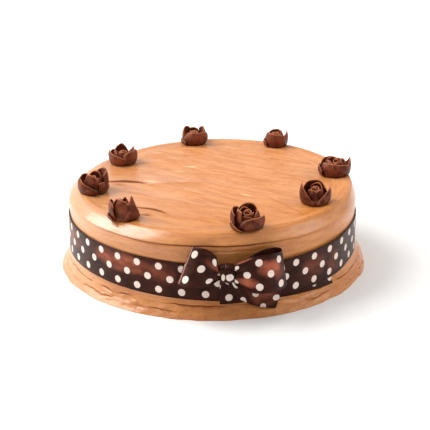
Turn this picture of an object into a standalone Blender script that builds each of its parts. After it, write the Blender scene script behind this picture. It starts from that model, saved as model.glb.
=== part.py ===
"""A round chocolate layer cake, baked in a 203 mm tin and covered with chocolate buttercream,
with eight chocolate roses round its top edge and a spotted satin ribbon tied round its side.

Metres, +Z up. The origin is the centre of the cake's flat base and the bow faces -Y. An
azimuth is an angle in degrees round the cake from the bow, positive towards +X.
"""

import math
from collections import namedtuple

import bmesh
import bpy
from mathutils import Matrix, Vector, noise

MM = 0.001

# Cake
WALL_RADIUS = 105 * MM
CAKE_HEIGHT = 60 * MM
SHOULDER_HEIGHT = 53 * MM
SHOULDER_POWER = 1.7
BASE_FLARE = 6.5 * MM
FLARE_HEIGHT = 12 * MM
MOUND = 8.2 * MM
MOUND_HEIGHT = 15 * MM
LEDGE_HEIGHT = 9.4 * MM
LEDGE_DEPTH = 0.5 * MM
GROOVE_DEPTH = 1.1 * MM
TOP_TILT = 0.012
TOP_CELLS = 23

# The flat top's rim, azimuth and radius in mm: the shoulder is cut off widest on the left
RIM = [
    (-180, 101.4), (-150, 97.4), (-120, 97), (-90, 97.5), (-45, 97.8), (0, 99), (45, 99),
    (80, 101), (110, 103), (140, 103.6), (165, 102.4), (180, 101.4),
]

# Palette knife strokes over the top
STROKE_HEADING = math.radians(-33.5)
STROKE_EDGES = [edge * MM for edge in (-114, -91, -69, -46, -23.5, -2, 24.5, 43.5, 60, 76, 95, 114)]
STROKE_STEP = 1.1 * MM
SCARP_WIDTH = 4.5 * MM
BEND_START = 30 * MM
BEND_RATE = 7.8

# Ribbon
RIBBON_WIDTH = 26.6 * MM
RIBBON_THICKNESS = 0.6 * MM
LAYER_GAP = 0.4 * MM
RIBBON_WALL = WALL_RADIUS - 0.4 * MM
BAND_START = 48.2
BAND_TURN = 410
BAND_HEIGHT = 28.4 * MM

# Bow. Along each strip, its upper and then its lower edge: mm round the cake from the
# knot, mm out from KNOT_RADIUS, and mm up. Both loops start and end inside the knot.
KNOT_RADIUS = 112.6 * MM
KNOT_HEIGHT = 36 * MM
KNOT_SHIFT = 0.3 * MM
KNOT_HALF_WIDTH = 4.4 * MM
KNOT_HALF_HEIGHT = 6.4 * MM
KNOT_HALF_DEPTH = 4.5 * MM
TAIL_RADIUS = 107.2 * MM

LOOPS = [
    ((-0.6, -1.4, 40), (-0.6, -1.4, 32)), ((-4.2, -1.6, 40.2), (-4.2, -1.6, 31.8)),
    ((-6.5, -2.6, 43.4), (-9.5, -2.6, 28.4)), ((-12, -3.4, 48.2), (-17.8, -3.4, 26.8)),
    ((-18.5, -3.4, 51.4), (-27.2, -3.2, 27.4)), ((-21.8, -1.8, 54), (-31.2, -1.6, 28.6)),
    ((-22.6, 0.5, 55), (-32.2, 1, 29.2)), ((-21.4, 2.9, 56.4), (-30.7, 4.6, 28.9)),
    ((-19, 4.8, 56.8), (-27.9, 7.6, 29)), ((-14.6, 6.5, 56.9), (-23.2, 10.3, 29.5)),
    ((-10.3, 6.5, 55), (-18, 10.3, 29.8)), ((-6.6, 5.2, 50.6), (-12.4, 8, 29.8)),
    ((-5.4, 3.2, 45), (-8, 4.4, 30.6)), ((-4.2, 1.5, 40.2), (-4.2, 1.5, 31.8)),
    ((0, 1.2, 40), (0, 1.2, 32)), ((4.2, 1.5, 40.2), (4.2, 1.5, 31.6)),
    ((7.1, 3.4, 44), (7, 4.2, 28.2)), ((11.2, 5, 46.5), (11, 6.8, 26.4)),
    ((15.3, 6.5, 49.1), (15.6, 9.3, 24.6)), ((21.4, 8, 50.4), (21.6, 10.8, 23.8)),
    ((28, 8, 50.6), (29, 10.8, 23.6)), ((33.9, 6, 50.3), (35.8, 8, 23.2)),
    ((38, 3.2, 49.6), (41.2, 4.4, 23.8)), ((39.6, 0.6, 49.4), (43.3, 1, 24.2)),
    ((39.9, -1.8, 49.6), (43.3, -1.6, 24.4)), ((37.8, -3.4, 50), (41, -3.4, 24.4)),
    ((34, -3.8, 50.1), (36, -3.8, 24.2)), ((29.6, -3.8, 49.8), (30, -3.8, 24.2)),
    ((23.8, -3.4, 48.4), (23.6, -3.4, 24.8)), ((17, -3, 45.4), (16.6, -3, 26.4)),
    ((9, -2.2, 42), (9, -2.2, 29.4)), ((4.2, -1.6, 40.2), (4.2, -1.6, 31.6)),
    ((0.6, -1.4, 40), (0.6, -1.4, 32)),
]
TAIL = [
    ((-3, 0, 38), (-3, 0, 27.5)), ((2, 0, 38.2), (2, 0, 25.5)), ((7, 0, 38), (6, 0, 19)),
    ((12, 0, 37.4), (9.6, 0, 15)), ((18, 0, 35.8), (14, 0.2, 12.2)), ((25, 0, 33.2), (20, 0.5, 9.2)),
    ((33, 0, 30), (26.5, 0.8, 7)), ((40, 0, 27.4), (32, 1, 5.6)), ((46, 0, 25.2), (38, 1.2, 4.5)),
]

# Roses. Each petal faces an azimuth and wraps half_span to either side of it; its lip leans
# out; its tip is at -1 to 1 along it, and away from there its height falls by drop, the more
# abruptly the lower blunt is; and an inset petal stands inside the others.
Petal = namedtuple("Petal", "heading half_span height lip tip blunt drop inset")
Rose = namedtuple("Rose", "azimuth radius reach bud petals")
Bud = namedtuple("Bud", "offset size height start")
PETAL_THICKNESS = 1.3 * MM
PETAL_TUCK = 1.0
ROSE_CORE_HEIGHT = 4 * MM
ROSE_GAP = 0.3 * MM

ROSES = [
    Rose(10.8, 91.8, 11.2, Bud(0.2, 4.6, 12.5, 215), [
        Petal(28, 70, 9.8, 0.6, 0.25, 2, 0.34, 0), Petal(-74, 44, 14, -0.8, 0.1, 2.6, 0.16, 1.8),
        Petal(-104, 52, 13.8, 0.6, 0, 2.6, 0.2, -0.4),
        Petal(-52, 32, 6.2, 2.2, -0.7, 1, 0.75, -1.4),
        Petal(163, 74, 14.8, -0.6, 0, 2.4, 0.34, 1.2), Petal(84, 48, 11.8, -0.6, 0.3, 2.2, 0.4, 3),
        Petal(-10, 60, 9.4, -0.4, -0.2, 2.4, 0.3, 4.2)]),
    Rose(56.1, 83.7, 11, Bud(0.3, 4, 11, 150), [
        Petal(-68, 60, 15.6, 0.8, -0.2, 1.15, 0.82, 0),
        Petal(58, 62, 12.6, 0.6, 0.3, 1.15, 0.8, 0), Petal(172, 80, 13.8, -0.6, 0, 2.6, 0.3, 0.8),
        Petal(-10, 34, 4, 0, 0, 2, 0.4, 2.6)]),
    Rose(96.3, 92.4, 11.2, Bud(2.2, 4.6, 12.4, 120), [
        Petal(-5, 82, 10.4, 0.4, -0.3, 2.6, 0.25, -0.2), Petal(-82, 30, 8.6, 1, -0.2, 1.3, 0.5, -1),
        Petal(-42, 50, 11.2, -0.4, 0, 2.4, 0.35, 1.5), Petal(-155, 50, 10.8, 0, 0, 4, 0.2, 0.4),
        Petal(84, 50, 12.8, 0.8, 0.2, 1, 0.7, -0.6), Petal(130, 45, 9.6, 0, 0, 2.2, 0.4, 1.1)]),
    Rose(145.3, 98.6, 8.9, Bud(0.4, 4, 10.4, 200), [
        Petal(-26, 80, 11.2, 0.2, -0.3, 2.6, 0.2, 0), Petal(62, 46, 12.2, 0.4, 0.45, 1, 0.55, 0),
        Petal(170, 66, 10.8, 0, 0, 2.2, 0.3, 0.6), Petal(-84, 36, 6, 1.2, 0, 2, 0.5, -0.8)]),
    Rose(184, 95, 10.2, Bud(0.1, 3.6, 9.4, 90), [
        Petal(4, 78, 10.4, 0, 0.1, 2.8, 0.25, 0), Petal(-70, 34, 4.6, 0.9, -0.2, 1.6, 0.5, -0.6),
        Petal(-112, 50, 12.2, 0, -0.1, 3, 0.42, 0.9), Petal(112, 46, 11.7, 0, 0.1, 2.6, 0.4, 0.9),
        Petal(180, 40, 9.8, 0, 0, 3, 0.2, 1.4)]),
    Rose(230.1, 83.3, 10.6, Bud(0.2, 3.8, 8.8, 60), [
        Petal(-46, 60, 10.6, 2.2, -0.7, 1.5, 0.42, 0.3), Petal(56, 62, 11, 0.4, 0.1, 2.6, 0.3, -0.1),
        Petal(186, 50, 12.6, 0, 0, 1.6, 0.5, 1), Petal(118, 28, 11.4, 0.6, 0.2, 1, 0.5, 0.5),
        Petal(-120, 40, 9, 0.4, 0, 2, 0.4, 0.8)]),
    Rose(274.9, 87.3, 11, Bud(0.2, 3.2, 10.5, 300), [
        Petal(-48, 68, 11.4, 0.8, -0.65, 1.3, 0.66, -0.2),
        Petal(-16, 58, 14.6, -0.8, -0.2, 2.4, 0.5, 2.3),
        Petal(62, 42, 9, 0.8, -0.5, 1.6, 0.5, 1.6), Petal(112, 64, 16, 0.6, -0.1, 3.2, 0.3, 0),
        Petal(-130, 44, 11.5, 0.2, 0, 2.4, 0.4, 1.7)]),
    Rose(313.4, 91, 10.8, Bud(0.3, 3, 11.5, 20), [
        Petal(-84, 44, 13.4, 0.8, 0, 3, 0.22, 0.2),
        Petal(-24, 48, 15.4, -0.6, -0.2, 2.8, 0.36, 1.9),
        Petal(32, 46, 18.6, -2.2, 0.08, 1, 0.93, -0.2),
        Petal(172, 40, 12.6, -0.6, 0.1, 1.1, 0.5, 1.6), Petal(100, 40, 7, 0.2, 0, 2, 0.5, 0.3),
        Petal(-74, 34, 3.8, 1.6, -0.3, 1.6, 0.5, -0.8), Petal(-150, 44, 11, 0, 0, 2.4, 0.4, 1)]),
]

# Two short furrows where the knife was set down: x, y, heading, length
FURROWS = [
    (-65.4 * MM, 10.8 * MM, math.radians(-9), 11 * MM),
    (-48.7 * MM, -49.7 * MM, math.radians(-38), 10 * MM),
]
FURROW_DEPTH = 1.3 * MM
FURROW_WIDTH = 2.4 * MM


def clear_scene():
    for thing in list(bpy.data.objects):
        bpy.data.objects.remove(thing)


def new_material(name, colour, roughness):
    material = bpy.data.materials.new(name)
    material.use_nodes = True
    shader = material.node_tree.nodes["Principled BSDF"]
    shader.inputs["Base Color"].default_value = (*colour, 1)
    shader.inputs["Roughness"].default_value = roughness
    shader.inputs["Metallic"].default_value = 0
    return material


def smooth(value):
    """0 below 0, 1 above 1, and a soft S between."""
    value = min(1.0, max(0.0, value))
    return value * value * (3 - 2 * value)


def at_azimuth(azimuth, radius, height):
    turn = math.radians(azimuth)
    return Vector((radius * math.sin(turn), -radius * math.cos(turn), height))


def add_object(name, bm, material, collection):
    bmesh.ops.recalc_face_normals(bm, faces=bm.faces)
    mesh = bpy.data.meshes.new(name)
    bm.to_mesh(mesh)
    bm.free()
    mesh.materials.append(material)
    thing = bpy.data.objects.new(name, mesh)
    collection.objects.link(thing)
    return thing


def add_thickness(thing, thickness, offset):
    shell = thing.modifiers.new("Thickness", "SOLIDIFY")
    shell.thickness = thickness
    shell.offset = offset
    shell.use_even_offset = True
    return thing


def surface(name, columns, rows, place, material, collection):
    """An open sheet of columns by rows faces: place gives the point at 0 to 1 along and -1 to 1 across."""
    bm = bmesh.new()
    bmesh.ops.create_grid(bm, x_segments=columns, y_segments=rows, size=1)
    for vert in bm.verts:
        vert.co = place((vert.co.x + 1) / 2, vert.co.y)
    return add_object(name, bm, material, collection)


def rim_radius(azimuth):
    """Radius of the flat top's rim, straight between the azimuths in RIM."""
    for (before, low), (after, high) in zip(RIM, RIM[1:]):
        if azimuth <= after:
            return (low + (high - low) * (azimuth - before) / (after - before)) * MM
    return RIM[-1][1] * MM


def tilt(x):
    """The top is a little higher on the right."""
    return TOP_TILT * x


def rose_place(rose):
    place = at_azimuth(rose.azimuth, rose.radius * MM, CAKE_HEIGHT + ROSE_GAP)
    place.z += tilt(place.x)
    return place


def stroke_height(x, y):
    """Height of the overlapping knife strokes: each swells towards its back edge and drops there."""
    along = x * math.cos(STROKE_HEADING) + y * math.sin(STROKE_HEADING)
    across = y * math.cos(STROKE_HEADING) - x * math.sin(STROKE_HEADING)
    bend = BEND_RATE * max(0.0, along - BEND_START) ** 2
    wave = 1.5 * MM * math.sin(along / (16 * MM) + across / (37 * MM))
    across += bend * (1 - 0.6 * smooth(across / (40 * MM))) + wave
    for low, high in zip(STROKE_EDGES, STROKE_EDGES[1:]):
        if low <= across < high:
            share = (across - low) / (high - low)
            rise = smooth((high - across) / SCARP_WIDTH)
            return STROKE_STEP * (rise * share**1.3 - 0.4)
    return 0.0


def furrow_depth(x, y):
    depth = 0.0
    for at_x, at_y, heading, length in FURROWS:
        along = (x - at_x) * math.cos(heading) + (y - at_y) * math.sin(heading)
        across = (y - at_y) * math.cos(heading) - (x - at_x) * math.sin(heading)
        depth += FURROW_DEPTH * math.exp(-((along / length) ** 2) - (across / FURROW_WIDTH) ** 2)
    return depth


def top_height(x, y):
    """Height of the top of the cake, level at its rim and under each rose."""
    azimuth = math.degrees(math.atan2(x, -y))
    open_area = smooth((rim_radius(azimuth) - math.hypot(x, y)) / (9 * MM))
    for rose in ROSES:
        away = (Vector((x, y, 0)) - rose_place(rose)).xy.length
        open_area *= smooth((away - 9 * MM) / (5 * MM))
    return CAKE_HEIGHT + tilt(x) + open_area * (stroke_height(x, y) - furrow_depth(x, y))


def uneven(azimuth, height, size, seed):
    """Smooth noise from -1 to 1 that closes up round the cake."""
    point = at_azimuth(azimuth, WALL_RADIUS, height) / size
    return noise.noise(point + Vector((seed, seed, 0)))


def foot_swell(azimuth, height):
    """How far the foot of the side flares out: more, and from higher up, on the right."""
    flare = BASE_FLARE * max(0.0, 1 - height / FLARE_HEIGHT) ** 2
    mound = MOUND * (1 - min(1.0, max(0.0, height / MOUND_HEIGHT)) ** 1.6)
    right = math.exp(-(((azimuth + 90) % 360 - 180) / 32) ** 2)
    return flare + (mound - flare) * right


def wall_radius(azimuth, height):
    """Radius of the side: torn and flared at its foot with a ledge over the flare, level under
    the ribbon, and with a groove under the shoulder that shows most at the front."""
    swell = foot_swell(azimuth, height) * (1 + 0.12 * uneven(azimuth, 0, 9 * MM, 3))
    at_front = 0.35 + 0.65 * max(0.0, math.cos(math.radians(azimuth * 0.9)))
    groove = GROOVE_DEPTH * at_front * math.exp(-(((height - 51.6 * MM) / (1.2 * MM)) ** 2))
    ledge = LEDGE_DEPTH * math.exp(-(((height - LEDGE_HEIGHT) / (1.6 * MM)) ** 2))
    above_ribbon = smooth((height - 43 * MM) / (5 * MM))
    waves = 0.45 * MM * above_ribbon * uneven(azimuth, height * 2, 30 * MM, 11)
    return RIBBON_WALL + 0.4 * MM * above_ribbon + swell + ledge - groove + waves


def side_profile():
    """Rings from the rim down: (share of the shoulder turned, or None on the wall, and height)."""
    turns = [math.radians(angle) for angle in (24, 50, 72, 90)]
    rings = [(turn, SHOULDER_HEIGHT) for turn in turns]
    return rings + [(None, height * MM) for height in (51.6, 49.4, 43, 15.2, 12, 9.4, 7.4, 3.6, 0)]


def ring_point(azimuth, turn, height):
    if turn is None:
        return at_azimuth(azimuth, wall_radius(azimuth, height), height)
    rim = rim_radius(azimuth)
    radius = rim + (wall_radius(azimuth, height) - rim) * math.sin(turn) ** SHOULDER_POWER
    sink = CAKE_HEIGHT + tilt(rim * math.sin(math.radians(azimuth))) - height
    return at_azimuth(azimuth, radius, height + sink * max(0.0, math.cos(turn)) ** SHOULDER_POWER)


def disc_point(a, b):
    """The point of a unit disc for a point of a square, with squares kept equal in area."""
    if abs(a) < 1e-9 and abs(b) < 1e-9:
        return 0.0, 0.0
    if abs(a) >= abs(b):
        radius, turn = a, math.pi / 4 * b / a
    else:
        radius, turn = b, math.pi / 2 - math.pi / 4 * a / b
    return radius * math.cos(turn), radius * math.sin(turn)


def build_cake(material, collection):
    """The top is a disc of equal cells, and the side is its edge drawn down ring by ring."""
    bm = bmesh.new()
    bmesh.ops.create_grid(bm, x_segments=TOP_CELLS, y_segments=TOP_CELLS, size=1)
    for vert in bm.verts:
        x, y = disc_point(vert.co.x, vert.co.y)
        rim = rim_radius(math.degrees(math.atan2(x, -y)))
        x, y = x * rim, y * rim
        vert.co = (x, y, top_height(x, y))
    edge = [e for e in bm.edges if e.is_boundary]
    for turn, height in side_profile():
        drawn = bmesh.ops.extrude_edge_only(bm, edges=edge)["geom"]
        for vert in (g for g in drawn if isinstance(g, bmesh.types.BMVert)):
            azimuth = math.degrees(math.atan2(vert.co.x, -vert.co.y))
            vert.co = ring_point(azimuth, turn, height)
        edge = [g for g in drawn if isinstance(g, bmesh.types.BMEdge)]
    bmesh.ops.contextual_create(bm, geom=edge)
    return add_object("cake", bm, material, collection)


def petal_point(rose, petal, along, up):
    """A cupped petal: its foot is in the core, its belly at the rose's reach, its lip leans
    out, and one of its side edges lies outside the next petal."""
    across, share = along * 2 - 1, (up + 1) / 2
    heading = petal.heading + petal.half_span * across * (1 - 0.12 * share)
    from_tip = abs((across - petal.tip) / (1 + abs(petal.tip)))
    height = petal.height * (1 - petal.drop * from_tip**petal.blunt)
    belly = (rose.reach - petal.inset) * (0.86 + 0.14 * math.sin(share * 2.6) ** 0.7)
    radius = belly + (petal.lip - 1.1) * share**2 + PETAL_TUCK * across * share
    return at_azimuth(heading, radius * MM, (0.8 + share * max(1.4, height - 0.8)) * MM)


def bud_point(rose, along, up):
    """The rolled heart of a rose: a sheet wound one and a half times."""
    share = (up + 1) / 2
    radius = (1.4 + (rose.bud.size - 1.4) * along) * MM * (1 - 0.15 * share)
    height = rose.bud.height * MM * share * (1 - 0.12 * along)
    point = at_azimuth(rose.bud.start + 460 * along, radius, 1.5 * MM + height - 1.5 * MM * share)
    point.x += rose.bud.offset * MM
    return point


def solid_copy(thing):
    """The thing with its modifiers made part of its mesh."""
    evaluated = thing.evaluated_get(bpy.context.evaluated_depsgraph_get())
    mesh = bpy.data.meshes.new_from_object(evaluated)
    thing.modifiers.clear()
    thing.data = mesh
    return thing


def keep_outer_skin(mesh):
    """Takes out the skins of pockets shut in between petals, and flaps of no thickness: only
    the largest skin stays."""
    bm = bmesh.new()
    bm.from_mesh(mesh)
    bmesh.ops.triangulate(bm, faces=bm.faces)
    left = set(bm.faces)
    skins = []
    while left:
        skin, reached = set(), [left.pop()]
        while reached:
            face = reached.pop()
            skin.add(face)
            sides = [edge.link_faces for edge in face.edges if len(edge.link_faces) == 2]
            near = {other for pair in sides for other in pair} & left
            left -= near
            reached.extend(near)
        skins.append(skin)
    skins.sort(key=len)
    for skin in skins[:-1]:
        bmesh.ops.delete(bm, geom=list(skin), context="FACES")
    loose = [vert for vert in bm.verts if not vert.link_faces]
    bmesh.ops.delete(bm, geom=loose, context="VERTS")
    bm.to_mesh(mesh)
    bm.free()


def build_rose(name, rose, material, collection):
    """Petals and bud, joined into the core that they were pressed onto."""
    pieces = bpy.data.collections.new(name + "_pieces")
    bpy.context.scene.collection.children.link(pieces)
    for petal in rose.petals:
        def place(along, up, petal=petal):
            return petal_point(rose, petal, along, up)
        sheet = surface(name + "_petal", 6, 2, place, material, pieces)
        add_thickness(sheet, PETAL_THICKNESS, 0)
    bud = surface(name + "_bud", 9, 1, lambda a, b: bud_point(rose, a, b), material, pieces)
    add_thickness(bud, 1.1 * MM, 0)
    bpy.context.view_layer.update()
    for piece in pieces.objects:
        solid_copy(piece)
    bm = bmesh.new()
    core = 0.9 * rose.reach * MM
    bmesh.ops.create_cone(
        bm, cap_ends=True, segments=14, radius1=core, radius2=core - 1.4 * MM,
        depth=ROSE_CORE_HEIGHT, matrix=Matrix.Translation((0, 0, ROSE_CORE_HEIGHT / 2)))
    whole = add_object(name, bm, material, collection)
    join = whole.modifiers.new("Petals", "BOOLEAN")
    join.operation = "UNION"
    join.operand_type = "COLLECTION"
    join.collection = pieces
    join.solver = "MANIFOLD"
    bpy.context.view_layer.update()
    keep_outer_skin(solid_copy(whole).data)
    for piece in list(pieces.objects):
        bpy.data.objects.remove(piece)
    bpy.data.collections.remove(pieces)
    whole.location = rose_place(rose)
    return whole


def band_point(along, across):
    """The ribbon round the cake: one length that overlaps itself at the front, inner end first."""
    turned = BAND_TURN * along
    over = smooth((turned - 343) / 15)
    radius = RIBBON_WALL + 0.3 * MM + RIBBON_THICKNESS / 2 + over * (RIBBON_THICKNESS + LAYER_GAP)
    inner_drop = 3.4 * MM * max(0.0, 1 - turned / 110) ** 1.4
    outer_drop = 4.8 * MM * max(0.0, (turned - 345) / 65)
    height = BAND_HEIGHT - inner_drop - outer_drop + across * RIBBON_WIDTH / 2
    azimuth = (BAND_START - turned + 180) % 360 - 180
    return at_azimuth(azimuth, radius + 1.25 * foot_swell(azimuth, height), height)


def strip_point(edges, radius, pleat, along, across):
    """A point between the two edges of a strip laid round the cake. Pleats run along it
    where it is gathered to less than its full width."""
    upper, lower = edges[round(along * (len(edges) - 1))]
    sideways, out, height = Vector(lower).lerp(Vector(upper), (across + 1) / 2) * MM
    width = (Vector(upper) - Vector(lower)).length * MM
    gathered = 1 - smooth((width - 0.34 * RIBBON_WIDTH) / (0.5 * RIBBON_WIDTH))
    out += pleat * gathered * math.cos(math.tau * across)
    return at_azimuth(math.degrees(sideways / KNOT_RADIUS), radius + out, height)


def knot_point(along, across):
    """A short length wrapped up and over the middle of the bow, nearly square in section."""
    turn = math.tau * along
    crown = 1 - 0.07 * across**2
    pleat = 1 + 0.04 * math.cos(math.pi * 3 * across) * max(0.0, math.cos(turn))
    depth = KNOT_HALF_DEPTH * math.copysign(abs(math.cos(turn)) ** 0.55, math.cos(turn))
    height = KNOT_HALF_HEIGHT * math.copysign(abs(math.sin(turn)) ** 0.55, math.sin(turn))
    azimuth = math.degrees((KNOT_SHIFT + across * KNOT_HALF_WIDTH) / KNOT_RADIUS)
    return at_azimuth(azimuth, KNOT_RADIUS + depth * crown * pleat, KNOT_HEIGHT + height * crown)


def build_ribbon(material, collection):
    band = surface("ribbon_band", 112, 1, band_point, material, collection)
    loops = surface(
        "bow_loops", len(LOOPS) - 1, 6,
        lambda a, b: strip_point(LOOPS, KNOT_RADIUS, 0.5 * MM, a, b), material, collection)
    knot = surface("bow_knot", 18, 4, knot_point, material, collection)
    bm = bmesh.new()
    bm.from_mesh(knot.data)
    bmesh.ops.remove_doubles(bm, verts=bm.verts, dist=0.01 * MM)
    bm.to_mesh(knot.data)
    bm.free()
    tail = surface(
        "bow_tail", len(TAIL) - 1, 3,
        lambda a, b: strip_point(TAIL, TAIL_RADIUS, 0, a, b), material, collection)
    for thing in (band, loops, knot, tail):
        add_thickness(thing, RIBBON_THICKNESS, 0)


def main():
    clear_scene()
    collection = bpy.data.collections.new("layer_cake")
    bpy.context.scene.collection.children.link(collection)
    buttercream = new_material("buttercream", (0.72, 0.40, 0.20), 0.45)
    chocolate = new_material("chocolate", (0.16, 0.05, 0.03), 0.45)
    satin = new_material("satin_ribbon", (0.06, 0.02, 0.015), 0.35)
    build_cake(buttercream, collection)
    for number, rose in enumerate(ROSES, start=1):
        build_rose(f"rose_{number}", rose, chocolate, collection)
    build_ribbon(satin, collection)
    for thing in collection.objects:
        thing.data.shade_smooth()
        thing.data.set_sharp_from_angle(angle=math.radians(40))


main()
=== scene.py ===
"""A chocolate layer cake with chocolate roses and a spotted ribbon, dressed over its frame.

Metres, +Z up, origin at the middle of the base, and the bow faces -Y. An azimuth is an
angle in degrees round the cake from the bow, positive towards +X.
"""

import itertools
import math

import bpy
import numpy as np
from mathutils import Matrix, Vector


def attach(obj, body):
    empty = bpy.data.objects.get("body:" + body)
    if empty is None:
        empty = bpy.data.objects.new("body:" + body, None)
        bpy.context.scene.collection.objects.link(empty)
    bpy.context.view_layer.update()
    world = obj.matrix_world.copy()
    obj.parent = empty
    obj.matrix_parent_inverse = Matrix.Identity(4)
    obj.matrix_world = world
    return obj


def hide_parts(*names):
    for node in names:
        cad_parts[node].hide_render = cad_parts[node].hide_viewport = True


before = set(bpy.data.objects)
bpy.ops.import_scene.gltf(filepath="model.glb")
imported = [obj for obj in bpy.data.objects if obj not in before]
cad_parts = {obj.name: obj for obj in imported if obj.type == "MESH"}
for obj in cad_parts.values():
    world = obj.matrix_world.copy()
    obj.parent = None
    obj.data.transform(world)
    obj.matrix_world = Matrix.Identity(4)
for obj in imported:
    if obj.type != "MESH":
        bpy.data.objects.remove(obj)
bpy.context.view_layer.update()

MM = 0.001

# Camera, fitted to the outline of the cake in the photograph
FRAME_PX = 430
FOCAL_PX = 1700.8
CAMERA_AZIMUTH, CAMERA_ELEVATION = -4.5, 21.448
CAMERA_DISTANCE = 1.26
CAMERA_AIM = Vector((0, 0, 26.25 * MM))
CAMERA_CENTRE_PX = (212.4, 226.12)
SENSOR_WIDTH = 36

# The cake's sizes, as in the solids
WALL_RADIUS = 105 * MM
CAKE_HEIGHT = 60 * MM
SHOULDER_HEIGHT = 53 * MM
BASE_FLARE = 6.5 * MM
FLARE_HEIGHT = 12 * MM
TOP_TILT = 0.012
# The fuller swell of the foot on the right
MOUND, MOUND_HEIGHT = 8.2 * MM, 15 * MM
MOUND_AZIMUTH, MOUND_SPREAD = 90, 32
# Radius of the flat top's rim in mm by azimuth: the shoulder is cut off widest on the left
RIM_AZIMUTHS = [-180, -150, -120, -90, -45, 0, 45, 80, 110, 140, 165, 180]
RIM_RADII = [101.4, 97.4, 97, 97.5, 97.8, 99, 99, 101, 103, 103.6, 102.4, 101.4]

# The ribbon's sizes. RIBBON_WALL is the radius of the icing behind it.
RIBBON_WALL = WALL_RADIUS - 0.4 * MM
RIBBON_WIDTH = 26.6 * MM
RIBBON_THICKNESS = 0.4 * MM
# The band's inner end is on the right. It runs to the left, round the back and over its own
# start, and from BAND_OVERLAP degrees on it steps out by one layer to do so.
BAND_START, BAND_TURN, BAND_OVERLAP = 48.2, 410, 343
BAND_STAND_OFF, BAND_LAYER = 0.6 * MM, 1.0 * MM
BAND_HEIGHT = 28.4 * MM
# One spot of an outer row is at this azimuth, and the spots are counted at this radius in mm
SPOT_AZIMUTH, SPOT_LINE = -25, 105.5
KNOT_RADIUS = 112.6 * MM
KNOT_HEIGHT = 36 * MM
KNOT_HALF_WIDTH, KNOT_HALF_HEIGHT, KNOT_HALF_DEPTH = 4.7 * MM, 6.4 * MM, 4.5 * MM
KNOT_SHIFT = 1.0 * MM
TAIL_RADIUS = 107.2 * MM


def smooth(value):
    """0 below 0, 1 above 1, and the cubic 3v^2 - 2v^3 between."""
    value = np.clip(value, 0, 1)
    return value * value * (3 - 2 * value)


def bell(value):
    """exp(-v^2): 1 at 0, and fading to nothing by 3 on either side."""
    return np.exp(-np.square(value))


def at_azimuth(azimuth, radius, height):
    """Points at (r sin a, -r cos a, h) for azimuths a in degrees."""
    turn = np.radians(azimuth)
    parts = np.broadcast_arrays(radius * np.sin(turn), -radius * np.cos(turn), height)
    return np.stack(parts, axis=-1)


def noise(points, size, seed):
    """Smooth noise, -1 to 1: a random value at each corner of cubic cells of the given
    size, blended by 6f^5 - 15f^4 + 10f^3 of the place within the cell."""
    place = np.asarray(points) / size + 31.7 * (seed + 1)
    cell = np.floor(place).astype(np.int64)
    share = place - cell
    share = share**3 * (share * (share * 6 - 15) + 10)
    total = np.zeros(place.shape[:-1])
    for corner in itertools.product((0, 1), repeat=3):
        x, y, z = np.moveaxis(cell + np.array(corner), -1, 0)
        mixed = (x * 73856093) ^ (y * 19349663) ^ (z * 83492791)
        mixed = ((mixed ^ (mixed >> 13)) * 1274126177) & 0x7FFFFFFF
        weight = np.prod(np.where(corner, share, 1 - share), axis=-1)
        total += weight * (mixed / 0x3FFFFFFF - 1)
    return total


def flat_noise(x, y, size, seed):
    """The same noise over a plane, with its own size in x and y."""
    points = np.stack(np.broadcast_arrays(x / size[0], y / size[1], 0.0 * x), axis=-1)
    return noise(points, 1.0, seed)


def spline(values, shares):
    """Points at the given shares, 0 to 1, of a smooth curve through evenly spaced values:
    each span is the Catmull-Rom cubic of the four values round it."""
    values = np.asarray(values, float)
    count = len(values) - 1
    place = np.clip(np.asarray(shares), 0, 1) * count
    span = np.minimum(place.astype(int), count - 1)
    t = (place - span)[..., None]
    before, start = values[np.maximum(span - 1, 0)], values[span]
    end, after = values[span + 1], values[np.minimum(span + 2, count)]
    return 0.5 * (2 * start + (end - before) * t
                  + (2 * before - 5 * start + 4 * end - after) * t**2
                  + (3 * (start - end) + after - before) * t**3)


def new_piece(name, points, faces, material, uv):
    """A smooth-shaded object from an array of points and lists of corner numbers. uv has a
    row for each point."""
    mesh = bpy.data.meshes.new(name)
    points = np.asarray(points, float).reshape(-1, 3)
    mesh.from_pydata(points.tolist(), [], [list(face) for face in faces])
    layer = mesh.uv_layers.new(name="cloth")
    corners = np.empty(len(mesh.loops), dtype=np.int32)
    mesh.loops.foreach_get("vertex_index", corners)
    layer.data.foreach_set("uv", np.asarray(uv, float).reshape(-1, 2)[corners].ravel())
    mesh.polygons.foreach_set("use_smooth", np.ones(len(mesh.polygons), bool))
    mesh.materials.append(material)
    mesh.update()
    piece = bpy.data.objects.new(name, mesh)
    bpy.context.scene.collection.objects.link(piece)
    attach(piece, "root")
    return piece


def grid_faces(rows, columns, closed=False, first=0):
    """Corner numbers of the quads of a grid of points, closed round its columns or not."""
    row, column = np.meshgrid(
        np.arange(rows - 1), np.arange(columns if closed else columns - 1), indexing="ij")
    along = (column + 1) % columns
    quads = (row * columns + column, row * columns + along,
             (row + 1) * columns + along, (row + 1) * columns + column)
    return np.stack(quads, axis=-1).reshape(-1, 4) + first


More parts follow.
